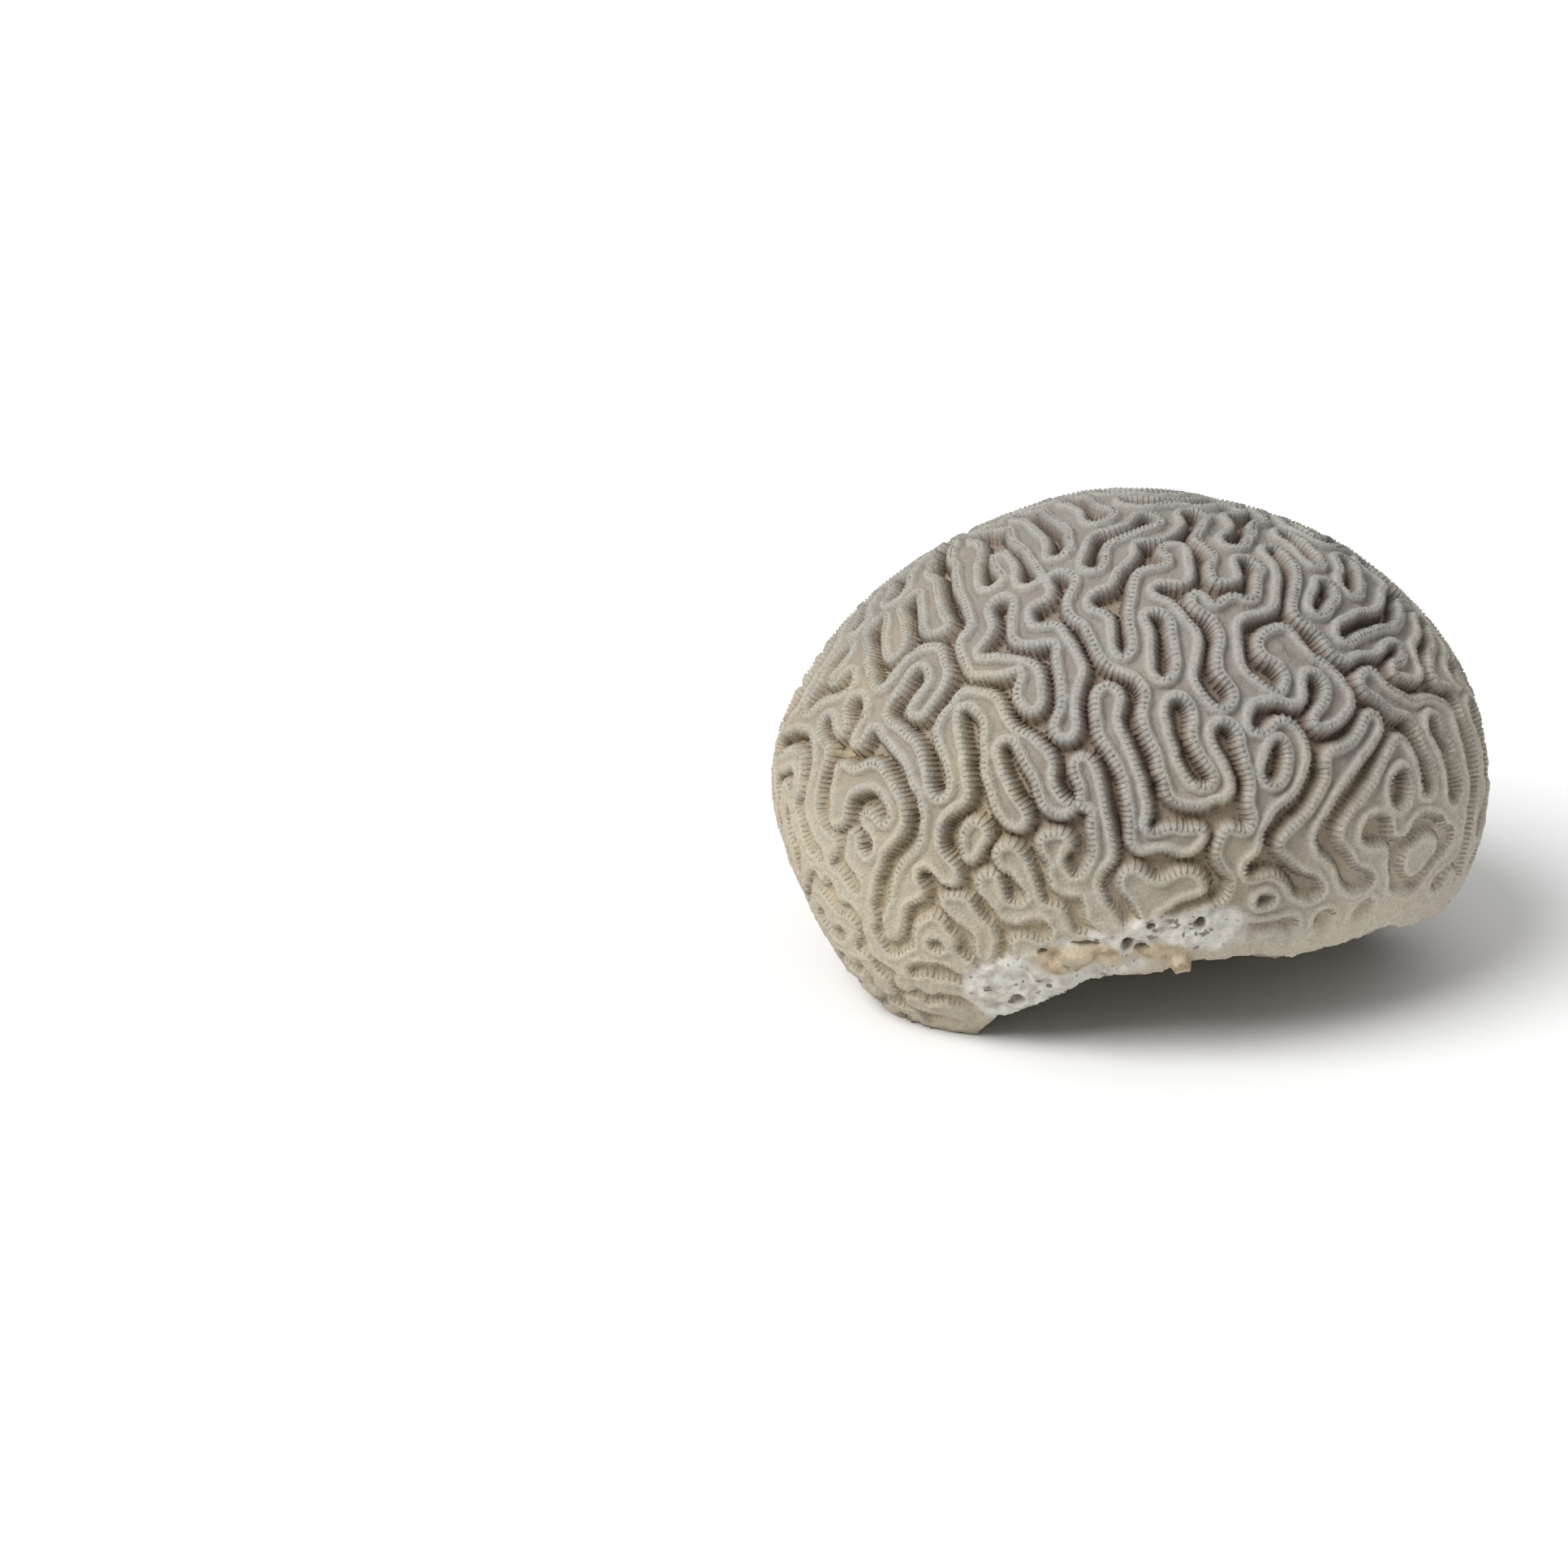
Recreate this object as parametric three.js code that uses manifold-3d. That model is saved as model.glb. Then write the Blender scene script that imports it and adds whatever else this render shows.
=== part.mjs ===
// Grooved brain coral: one colony grown as a single dome, cut flat where it stood on the reef,
// with the front right of its underside broken away. Millimetres, +Z up, -Y is the front.
// The solid is the plain surface over the crests of the ridges.
import * as THREE from 'three';
import { ImprovedNoise } from 'three/addons/math/ImprovedNoise.js';
import { mergeVertices } from 'three/addons/utils/BufferGeometryUtils.js';
import Module from 'manifold-3d';

// The dome: an ellipsoid, with its centre this far above the flat cut.
const HALF_WIDTH = 61.5;
const HALF_DEPTH = 53;
const HALF_HEIGHT = 48.4;
const CENTRE_HEIGHT = 36.5;
const FACET_ROWS = 16;

// Where the colony grew fuller or flatter than the ellipsoid. Each lobe points a way given in
// degrees (round from +X, up from level), fades over its spread, and adds a share of the radius.
const LOBES = [
  { name: 'foot at the front left', around: 212, up: -32, spread: 20, height: 0.23 },
  { name: 'hollow above the foot', around: 195, up: -30, spread: 18, height: -0.11 },
  { name: 'left flank', around: 178, up: -10, spread: 16, height: 0.07 },
  { name: 'flat left shoulder', around: 180, up: 40, spread: 24, height: -0.055 },
  { name: 'right flank', around: -5, up: -22, spread: 18, height: 0.065 },
  { name: 'back flank', around: 80, up: -15, spread: 26, height: 0.03 },
  { name: 'flat back right shoulder', around: 50, up: 35, spread: 20, height: -0.03 },
];

// Slow swells of the grown surface.
const SWELL_LENGTH = 30;
const SWELL_HEIGHT = 0.9;

// The broken recess under the front right rim: its ceiling climbs from the foot over RIM_RISE,
// and falls again towards the back.
const RIM_HEIGHT = 19;
const RIM_RISE = 28;
const RECESS_LEFT = -29.5;
const RECESS_RIGHT = 72;
const RECESS_FRONT = -58;
const RECESS_BACK = 11;
const RECESS_WANDER = 7;
const WANDER_LENGTH = 26;
const BREAK_LENGTH = 9;
const BREAK_ROUGHNESS = 3;
const BREAK_FACET = 2.5;
const CUT_MARGIN = 1.5;

// How far the cutting bodies reach past the dome.
const CUT_REACH = 90;

const CORAL = { color: 0xb3a996, roughness: 0.92, metalness: 0 };

const noise = new ImprovedNoise();
const wasm = await Module();
wasm.setup();

/** Unit vector at an angle round from +X and an angle up from level, in degrees. */
function direction(around, up) {
  const polar = THREE.MathUtils.degToRad(90 - up);
  const azimuth = THREE.MathUtils.degToRad(around);
  const level = Math.sin(polar);
  return new THREE.Vector3(level * Math.cos(azimuth), level * Math.sin(azimuth), Math.cos(polar));
}

/** Smooth unevenness between about -1 and 1, the same at every run. */
function unevenness(x, y, z, length) {
  return noise.noise(x / length, y / length, z / length);
}

/** Point of the grown surface that lies the given way from the dome's centre. */
function grownPoint(way, lobes) {
  const ellipsoid = 1 / Math.hypot(way.x / HALF_WIDTH, way.y / HALF_DEPTH, way.z / HALF_HEIGHT);
  let share = 1;
  for (const lobe of lobes) {
    share += lobe.height * Math.exp((way.dot(lobe.way) - 1) / lobe.width ** 2);
  }
  const point = way.clone().multiplyScalar(ellipsoid * share);
  const swell = SWELL_HEIGHT * unevenness(point.x, point.y, point.z, SWELL_LENGTH);
  point.addScaledVector(way, swell);
  point.z += CENTRE_HEIGHT;
  return point;
}

/** Moves every vertex of a geometry to where the function puts it. */
function reshape(geometry, place) {
  const position = geometry.attributes.position;
  const point = new THREE.Vector3();
  for (let i = 0; i < position.count; i += 1) {
    point.fromBufferAttribute(position, i);
    const moved = place(point);
    position.setXYZ(i, moved.x, moved.y, moved.z);
  }
  return geometry;
}

/** A closed geometry as a solid that can be cut. */
function solidOf(geometry) {
  geometry.deleteAttribute('normal');
  geometry.deleteAttribute('uv');
  const merged = mergeVertices(geometry, 1e-4);
  const vertProperties = new Float32Array(merged.attributes.position.array);
  const triVerts = new Uint32Array(merged.index.array);
  return new wasm.Manifold(new wasm.Mesh({ numProp: 3, vertProperties, triVerts }));
}

/** A cut solid back as a geometry. */
function geometryOf(solid) {
  const mesh = solid.getMesh();
  const geometry = new THREE.BufferGeometry();
  geometry.setAttribute('position', new THREE.BufferAttribute(mesh.vertProperties, 3));
  geometry.setIndex(new THREE.BufferAttribute(mesh.triVerts, 1));
  return geometry;
}

/** The whole colony as it grew, before it was cut and broken. */
function grownDome() {
  const lobes = LOBES.map(({ around, up, spread, height }) => ({
    way: direction(around, up),
    width: THREE.MathUtils.degToRad(spread),
    height,
  }));
  const sphere = new THREE.IcosahedronGeometry(1, FACET_ROWS);
  return reshape(sphere, (point) => grownPoint(point.clone().normalize(), lobes));
}

/** Everything below the flat cut. */
function belowCut() {
  const block = new THREE.BoxGeometry(2 * CUT_REACH, 2 * CUT_REACH, CUT_REACH);
  return block.translate(0, 0, -CUT_REACH / 2);
}

/** Height of the broken ceiling over a point of the floor; below zero where nothing is broken. */
function ceilingHeight(x, y) {
  const wander = RECESS_WANDER * unevenness(x, y, RIM_HEIGHT, WANDER_LENGTH);
  const left = x - RECESS_LEFT + wander;
  const front = y - RECESS_FRONT - wander;
  const along = THREE.MathUtils.clamp(left / RIM_RISE, 0, 1);
  const back = THREE.MathUtils.clamp(front / (RECESS_BACK - RECESS_FRONT), 0, 1);
  const share = Math.max(0, 1 - (1 - along) ** 2 - back ** 3);
  const rough = BREAK_ROUGHNESS * unevenness(x, y, 0, BREAK_LENGTH) * Math.sqrt(share);
  return (RIM_HEIGHT + CUT_MARGIN) * share + rough - CUT_MARGIN;
}

/** What broke away: a block whose top follows the rough ceiling. */
function brokenPiece() {
  const width = RECESS_RIGHT - RECESS_LEFT + 2 * CUT_MARGIN;
  const depth = RECESS_BACK - RECESS_FRONT + 2 * CUT_MARGIN;
  const columns = Math.round(width / BREAK_FACET);
  const rows = Math.round(depth / BREAK_FACET);
  const block = new THREE.BoxGeometry(width, depth, CENTRE_HEIGHT, columns, rows, 1);
  const centreX = (RECESS_LEFT + RECESS_RIGHT) / 2;
  const centreY = (RECESS_FRONT + RECESS_BACK) / 2;
  block.translate(centreX, centreY, -CENTRE_HEIGHT / 2 - CUT_MARGIN);
  return reshape(block, (point) => {
    const onTop = point.z > -CENTRE_HEIGHT / 2;
    return onTop ? point.setZ(ceilingHeight(point.x, point.y)) : point;
  });
}

/** The colony as it is now, with its origin under its middle, on the flat cut. */
function coralGeometry() {
  const whole = solidOf(grownDome());
  const cut = whole.subtract(solidOf(belowCut())).subtract(solidOf(brokenPiece()));
  const geometry = geometryOf(cut);
  geometry.computeBoundingBox();
  const middle = geometry.boundingBox.getCenter(new THREE.Vector3());
  geometry.translate(-middle.x, -middle.y, -geometry.boundingBox.min.z);
  geometry.computeVertexNormals();
  return geometry;
}

const colony = new THREE.Mesh(coralGeometry(), new THREE.MeshStandardMaterial(CORAL));
colony.name = 'coral';

const brainCoral = new THREE.Group();
brainCoral.add(colony);

export default brainCoral;
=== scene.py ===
"""A grooved brain coral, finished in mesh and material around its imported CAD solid.

The solid is the plain surface over the crests of the ridges. A labyrinth of ridges and valleys
is grown over it, cut into it as relief, and toothed with septa.
"""
import logging
import math
from dataclasses import dataclass, field
from enum import IntEnum

import bpy
import numpy as np
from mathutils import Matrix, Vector
from mathutils.bvhtree import BVHTree
from mathutils.kdtree import KDTree


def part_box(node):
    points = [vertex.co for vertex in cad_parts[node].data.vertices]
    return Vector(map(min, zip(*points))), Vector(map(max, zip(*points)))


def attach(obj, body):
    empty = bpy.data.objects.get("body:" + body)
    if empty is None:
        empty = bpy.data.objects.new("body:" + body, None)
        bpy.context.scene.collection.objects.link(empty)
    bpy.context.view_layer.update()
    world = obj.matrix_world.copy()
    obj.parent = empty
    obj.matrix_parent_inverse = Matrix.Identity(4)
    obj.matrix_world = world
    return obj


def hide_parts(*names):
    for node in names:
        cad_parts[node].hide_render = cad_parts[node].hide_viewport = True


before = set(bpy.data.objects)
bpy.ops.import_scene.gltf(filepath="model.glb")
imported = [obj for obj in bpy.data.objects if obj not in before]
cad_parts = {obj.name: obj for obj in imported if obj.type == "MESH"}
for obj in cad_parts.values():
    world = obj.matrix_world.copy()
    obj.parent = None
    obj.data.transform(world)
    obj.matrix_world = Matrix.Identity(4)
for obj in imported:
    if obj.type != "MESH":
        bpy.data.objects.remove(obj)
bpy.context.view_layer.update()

MM = 0.001
BODY = "root"
NODE = "coral"
Array = np.ndarray
Colour = tuple[float, float, float]
Scalar = "float | Socket"
Turns = tuple[tuple[float, float], ...]
Layers = tuple[tuple[float, float, int], ...]
log = logging.getLogger("coral")


class Region(IntEnum):
    """What each part of the outside is."""

    GROWN = 0
    BROKEN = 1
    CUT = 2


class Kind(IntEnum):
    """What a course holds the labyrinth to."""

    VALLEY = -1
    RIDGE = 1


# Where the valleys of the coral's front run. Each place is an angle round from +X and an angle up
# from level, in degrees, seen from the colony's heart; the front is at -90.
VALLEYS: tuple[Turns, ...] = (
    # Over the top
    ((-124, 70), (-115, 72), (-109, 74), (-100, 76), (-90, 79), (-78, 80)),
    ((-190, 67), (-167, 69), (-146, 68), (-136, 66), (-136, 63)),
    ((-185, 62), (-170, 61), (-158, 60), (-148, 59), (-140, 57), (-135, 54)),
    ((-185, 57), (-172, 57), (-162, 55), (-150, 53), (-146, 52)),
    ((-124, 70), (-118, 67), (-114, 62)),
    ((-96, 70), (-87, 71), (-78, 71), (-69, 72), (-60, 74), (-45, 75)),
    ((-95, 65), (-88, 64), (-82, 65)),
    ((-62, 69), (-66, 66), (-68, 62), (-72, 58), (-77, 56), (-82, 55), (-89, 56)),
    ((-82, 55), (-81, 52), (-78, 49), (-75, 46), (-75, 44), (-77, 42), (-79, 39), (-80, 37), (-78, 34),
     (-76, 32)),
    ((-101, 61), (-99, 55), (-100, 50), (-100, 47), (-99, 44), (-99, 41)),
    ((-109, 54), (-109, 51)),
    ((-89, 44), (-88, 42), (-89, 38)),
    ((-93, 50), (-87, 49)),
    # Upper left
    ((-177, 46), (-172, 48), (-165, 46), (-155, 44), (-148, 41)),
    ((-169, 38), (-163, 38), (-157, 36), (-154, 34), (-153, 30)),
    ((-154, 34), (-148, 36), (-145, 38), (-142, 41)),
    ((-145, 38), (-142, 36), (-140, 34), (-137, 32), (-135, 29), (-136, 27), (-137, 24), (-137, 21),
     (-137, 18), (-134, 17), (-132, 14), (-130, 11)),
    ((-137, 19), (-141, 20), (-146, 21)),
    ((-135, 30), (-130, 31), (-126, 32), (-121, 29), (-118, 26), (-113, 24), (-109, 22), (-106, 23)),
    ((-126, 32), (-121, 35)),
    ((-146, 29), (-144, 27), (-144, 25)),
    ((-171, 32), (-166, 30), (-160, 28), (-156, 26), (-154, 25)),
    ((-188, 29), (-183, 27)),
    ((-158, 18), (-154, 16), (-155, 13), (-152, 11), (-148, 12), (-149, 16)),
    # Front
    ((-116, 42), (-118, 39), (-116, 37), (-114, 34), (-113, 31), (-112, 28)),
    ((-118, 39), (-122, 39), (-126, 38), (-130, 38), (-134, 36)),
    ((-137, 48), (-133, 45), (-130, 41), (-130, 38)),
    ((-127, 49), (-124, 47), (-123, 45)),
    ((-126, 57), (-122, 56), (-120, 53), (-119, 50), (-119, 48), (-115, 47), (-111, 45), (-108, 43),
     (-108, 41), (-104, 38), (-100, 36), (-97, 36), (-95, 33), (-97, 30), (-97, 27), (-94, 24),
     (-93, 21), (-92, 18), (-91, 15), (-90, 12), (-92, 9)),
    ((-104, 38), (-106, 36), (-106, 31), (-105, 27), (-106, 23)),
    ((-109, 22), (-108, 19), (-108, 16), (-106, 14)),
    ((-106, 23), (-103, 23), (-101, 21), (-99, 18), (-98, 14), (-97, 9), (-97, 5), (-97, 2), (-99, 0),
     (-98, -3), (-96, -6), (-95, -8)),
    ((-90, 12), (-87, 12), (-83, 12), (-85, 9)),
    ((-86, 31), (-86, 27), (-85, 23), (-84, 20), (-82, 18), (-81, 17)),
    ((-131, 26), (-128, 23), (-126, 19), (-124, 15), (-122, 12), (-120, 8), (-117, 6), (-114, 5), (-112, 7),
     (-112, 10), (-114, 13), (-117, 16), (-119, 19), (-120, 21)),
    ((-114, 5), (-111, 2), (-110, -1), (-109, -5)),
    ((-103, 11), (-105, 8), (-103, 6), (-102, 4)),
    ((-105, 8), (-108, 9), (-112, 8)),
    ((-106, 3), (-104, 1)),
    ((-97, 4), (-94, 3), (-90, 4), (-86, 3), (-83, 2), (-81, 0), (-79, -1)),
    ((-80, 14), (-80, 9), (-82, 5), (-83, 2)),
    # Upper right
    ((-64, 56), (-68, 54), (-72, 52)),
    ((-46, 58), (-52, 57), (-56, 54), (-58, 51)),
    ((-30, 60), (-35, 56), (-39, 53), (-44, 51), (-50, 48), (-52, 46), (-60, 46), (-66, 45), (-67, 42),
     (-68, 39), (-66, 36), (-64, 34), (-63, 32)),
    ((-52, 46), (-49, 43), (-48, 40), (-48, 37), (-47, 34), (-45, 32), (-46, 30), (-46, 28), (-44, 26),
     (-42, 24), (-42, 21)),
    ((-45, 32), (-41, 32), (-38, 33)),
    ((-42, 45), (-36, 46), (-31, 47)),
    ((-40, 38), (-37, 38), (-32, 38), (-29, 37)),
    ((-21, 45), (-17, 46)),
    ((-19, 54), (-13, 57)),
    ((-37, 28), (-34, 26), (-31, 24), (-28, 23), (-23, 20), (-20, 19)),
    ((-22, 28), (-24, 24)),
    ((-28, 31), (-33, 31)),
    # Right
    ((-79, 26), (-76, 26), (-77, 23), (-76, 21), (-75, 18), (-76, 14), (-76, 11), (-75, 9)),
    ((-66, 23), (-68, 20), (-69, 17)),
    ((-70, 26), (-69, 29), (-66, 29), (-63, 28), (-61, 26), (-60, 23), (-59, 20), (-60, 17), (-61, 15),
     (-63, 12), (-66, 11), (-69, 9), (-71, 6), (-70, 3), (-68, 1), (-66, -2), (-64, -4), (-61, -3)),
    ((-54, 32), (-56, 29), (-59, 27), (-61, 26)),
    ((-60, 23), (-56, 22), (-52, 22)),
    ((-50, 22), (-48, 24)),
    ((-42, 21), (-44, 18), (-48, 16), (-51, 13), (-54, 11), (-57, 9), (-59, 6), (-59, 3), (-56, 0),
     (-54, -3), (-53, -5), (-49, -6)),
    ((-41, 12), (-42, 9), (-43, 7)),
    ((-46, 4), (-49, 2)),
    ((-43, 0), (-44, -2), (-43, -5), (-41, -8), (-38, -10)),
    ((-34, 0), (-32, -2), (-32, -5)),
    ((-42, 21), (-38, 20), (-37, 17), (-36, 14), (-35, 11)),
    ((-30, 18), (-31, 15), (-30, 12)),
    ((-22, 14), (-21, 8), (-22, 2)),
    ((-22, -3), (-22, -6), (-24, -9)),
    ((-12, 13), (-12, 5), (-13, -3)),
    # Left
    ((-146, 15), (-143, 14), (-141, 13), (-139, 12), (-137, 10), (-135, 8), (-134, 6), (-134, 3), (-134, 1),
     (-137, -1), (-137, -5), (-138, -8), (-138, -10)),
    ((-143, 7), (-146, 4), (-147, 1), (-148, -3), (-147, -6)),
    ((-146, -7), (-143, -8)),
    ((-172, 6), (-168, 8), (-164, 8), (-162, 5), (-161, 2), (-161, -1), (-159, -3), (-156, -5)),
    ((-167, 3), (-165, 1)),
    ((-161, 13), (-158, 12)),
    ((-155, -10), (-150, -12), (-147, -13)),
    ((-139, -14), (-137, -16), (-136, -18)),
    ((-143, 7), (-141, 5), (-139, 4)),
    ((-143, 1), (-142, -1)),
    ((-122, 11), (-124, 9), (-126, 7), (-126, 4), (-125, 1), (-124, -1)),
    ((-120, 3), (-119, 0)),
    ((-116, -2), (-114, -5)),
    ((-121, 0), (-122, -4), (-125, -5), (-129, -5), (-129, -7), (-126, -10), (-125, -12)),
    ((-122, -4), (-120, -7), (-119, -9), (-117, -11), (-117, -13), (-117, -16)),
    ((-117, -11), (-114, -11), (-111, -11)),
    ((-132, -9), (-130, -9)),
    ((-122, -13), (-124, -16), (-122, -17), (-121, -19)),
    ((-133, -14), (-134, -17)),
    ((-145, -12), (-143, -14), (-142, -17)),
    ((-150, -10), (-148, -12)),
    ((-138, -21), (-138, -24), (-137, -27)),
    ((-154, 12), (-156, 9), (-156, 7), (-155, 4), (-153, 1)),
    ((-131, -20), (-127, -20)),
)

# Where broad flat ridges stay whole.
PLATEAUS: tuple[Turns, ...] = (
    ((-95, -2), (-90, -2), (-86, -1)),
    ((-93, -6), (-88, -5)),
    ((-72, 13), (-67, 13)),
    ((-78, 5), (-73, 5)),
    ((-67, 4), (-63, 4)),
    ((-76, -2), (-72, -4)),
    ((-57, 18), (-54, 16)),
    ((-78, -6), (-72, -8), (-66, -8), (-60, -8), (-54, -9)),
)


# Small tools for arrays of points


def unit(vectors: Array) -> Array:
    """Scales each row to length one."""
    return vectors / np.maximum(np.linalg.norm(vectors, axis=-1, keepdims=True), 1e-12)


def smooth_step(values: Array, low: float, high: float) -> Array:
    """Goes from 0 at low to 1 at high with a smooth start and end."""
    share = np.clip((values - low) / (high - low), 0.0, 1.0)
    return share * share * (3.0 - 2.0 * share)


def way(around: float, up: float) -> Array:
    """Gives the unit vector at an angle round from +X and an angle up from level.

    Args:
        around: Degrees round from +X towards +Y.
        up: Degrees above level.

    Returns:
        A unit vector.
    """
    level = math.cos(math.radians(up))
    turn = math.radians(around)
    return np.array([level * math.cos(turn), level * math.sin(turn), math.sin(math.radians(up))])


@dataclass(frozen=True)
class Course:
    """A line over the coral's outside that holds the labyrinth to a valley or a ridge."""

    turns: Turns
    steps: int = 10

    def rays(self) -> Array:
        """Gives unit vectors along the line."""
        corners = np.array([way(around, up) for around, up in self.turns])
        shares = np.linspace(0.0, 1.0, self.steps, endpoint=False)[:, None]
        legs = [start + (stop - start) * shares for start, stop in zip(corners, corners[1:])]
        return unit(np.concatenate([*legs, corners[-1:]]))


@dataclass(frozen=True)
class Patch:
    """An oval area of the outside: its middle and half its size, in degrees from the heart."""

    around: float
    up: float
    width: float
    height: float

    def share(self, rays: Array) -> Array:
        """Gives 1 inside the patch, 0 outside it, and a soft step between.

        Args:
            rays: Unit vectors from the heart, or slightly bent ones for a ragged border.

        Returns:
            One number for each ray.
        """
        middle = way(self.around, self.up)
        east = unit(np.cross((0.0, 0.0, 1.0), middle))
        north = np.cross(middle, east)
        x = rays @ east / math.sin(math.radians(self.width))
        y = rays @ north / math.sin(math.radians(self.height))
        inside = 1.0 - smooth_step(np.hypot(x, y), 0.75, 1.15)
        return np.where(rays @ middle > 0.0, inside, 0.0)


# The crumbling white front edge of the break, the smooth tan crusts on it, where it bulges, and
# its deep holes.
RUBBLE = (
    Patch(-115, -25, 9, 8), Patch(-108, -21, 8, 6), Patch(-99, -17, 9, 5.5), Patch(-90, -13, 8, 5),
    Patch(-81, -11, 8, 4.5),
)
CRUSTS = (
    Patch(-107, -18, 5, 3.2), Patch(-101, -16.5, 5, 2.6), Patch(-88, -16, 6, 2.2),
    Patch(-84.5, -18.5, 2, 2.5),
)
LUMPS = (Patch(-84.5, -18.5, 1.8, 2.2), Patch(-104, -17, 3, 1.5), Patch(-107, -19, 2, 1.2))
HOLES = (
    Patch(-115.5, -27, 1.1, 1.3), Patch(-95, -14, 1.0, 1.5), Patch(-82, -9.5, 1.1, 1.2),
    Patch(-91, -10, 0.8, 0.7), Patch(-92, -15, 1.3, 0.6), Patch(-102.5, -14, 2.2, 0.5),
    Patch(-110, -16, 0.8, 0.5),
)


def rough(points: Array, length: float, seed: int = 0) -> Array:
    """Gives smooth noise from -1 to 1 on a hashed lattice.

    Args:
        points: Places in metres, one a row.
        length: Size of the lattice's cells in metres.
        seed: Picks one of many patterns.

    Returns:
        One number for each point.
    """
    scaled = points / length + 17.31 * (seed + 1)
    cell = np.floor(scaled).astype(np.int64)
    share = scaled - cell
    share = share * share * (3.0 - 2.0 * share)
    total = np.zeros(len(points))
    for corner in range(8):
        offset = np.array([corner & 1, corner >> 1 & 1, corner >> 2 & 1])
        x, y, z = (cell + offset).T
        mixed = (x * 73856093) ^ (y * 19349663) ^ (z * 83492791) ^ (seed * 2654435761)
        mixed = (mixed ^ (mixed >> 13)) * 1274126177 & 0xFFFFFFFF
        value = ((mixed ^ (mixed >> 16)) & 0xFFFF) / 32767.5 - 1.0
        total += value * np.prod(np.where(offset == 1, share, 1.0 - share), axis=1)
    return total


def layered(points: Array, layers: Layers) -> Array:
    """Adds up layers of noise, each given by its cells' size, its height and its seed."""
    return sum(height * rough(points, length, seed) for length, height, seed in layers)


def nearest(targets: Array, points: Array) -> tuple[Array, Array]:
    """Finds the nearest target of each point.

    Args:
        targets: Places to look among.
        points: Places to look from.

    Returns:
        The distances, and the rows of the nearest targets.
    """
    tree = KDTree(len(targets))
    for row, target in enumerate(targets.tolist()):
        tree.insert(target, row)
    tree.balance()
    found = [tree.find(point)[1:] for point in points.tolist()]
    rows, distances = np.array(found).T
    return distances, rows.astype(int)


def icosphere(levels: int) -> tuple[Array, Array]:
    """Makes a sphere of near-equal triangles; each level keeps the vertices of the one before.

    Args:
        levels: How many times each triangle is cut in four.

    Returns:
        Unit vectors, and triangles as rows of three vertex numbers.
    """
    golden = (1.0 + math.sqrt(5.0)) / 2.0
    corners = [(a, b * golden, 0.0) for b in (1, -1) for a in (-1, 1)]
    rays = np.array([np.roll(corner, turn) for turn in (0, 1, 2) for corner in corners])
    rays = unit(rays)
    gaps = np.linalg.norm(rays[:, None] - rays[None], axis=2)
    near = (gaps > 0.1) & (gaps < 1.1)
    facets = [
        (a, b, c) if np.linalg.det(rays[[a, b, c]]) > 0 else (a, c, b)
        for a in range(12) for b in range(a) for c in range(b)
        if near[a, b] and near[b, c] and near[a, c]
    ]
    facets = np.array(facets)
    for _ in range(levels):
        rays, facets = refine(rays, facets)
        rays = unit(rays)
    return rays, facets


def edge_middles(count: int, facets: Array) -> tuple[Array, Array]:
    """Numbers the edges of a mesh.

    Args:
        count: How many vertices the mesh has.
        facets: Its triangles.

    Returns:
        The ends of each edge, and for each triangle the edges after its first, second and
        third corner.
    """
    sides = np.sort(np.concatenate([facets[:, [0, 1]], facets[:, [1, 2]], facets[:, [2, 0]]]), axis=1)
    _, first, inverse = np.unique(sides[:, 0] * count + sides[:, 1], return_index=True, return_inverse=True)
    return sides[first], inverse.reshape(3, -1).T


def refine(values: Array, facets: Array) -> tuple[Array, Array]:
    """Cuts each triangle in four, with new values halfway along the edges.

    Args:
        values: One row or number for each vertex.
        facets: Triangles.

    Returns:
        The longer values, the old ones first, and the finer triangles.
    """
    ends, edges = edge_middles(len(values), facets)
    middles = len(values) + edges
    a, b, c = facets.T
    ab, bc, ca = middles.T
    finer = [(a, ab, ca), (ab, b, bc), (ca, bc, c), (ab, bc, ca)]
    grown = np.concatenate([values, (values[ends[:, 0]] + values[ends[:, 1]]) / 2.0])
    return grown, np.concatenate([np.stack(corners, axis=1) for corners in finer])


# The outside of the CAD solid


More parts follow.
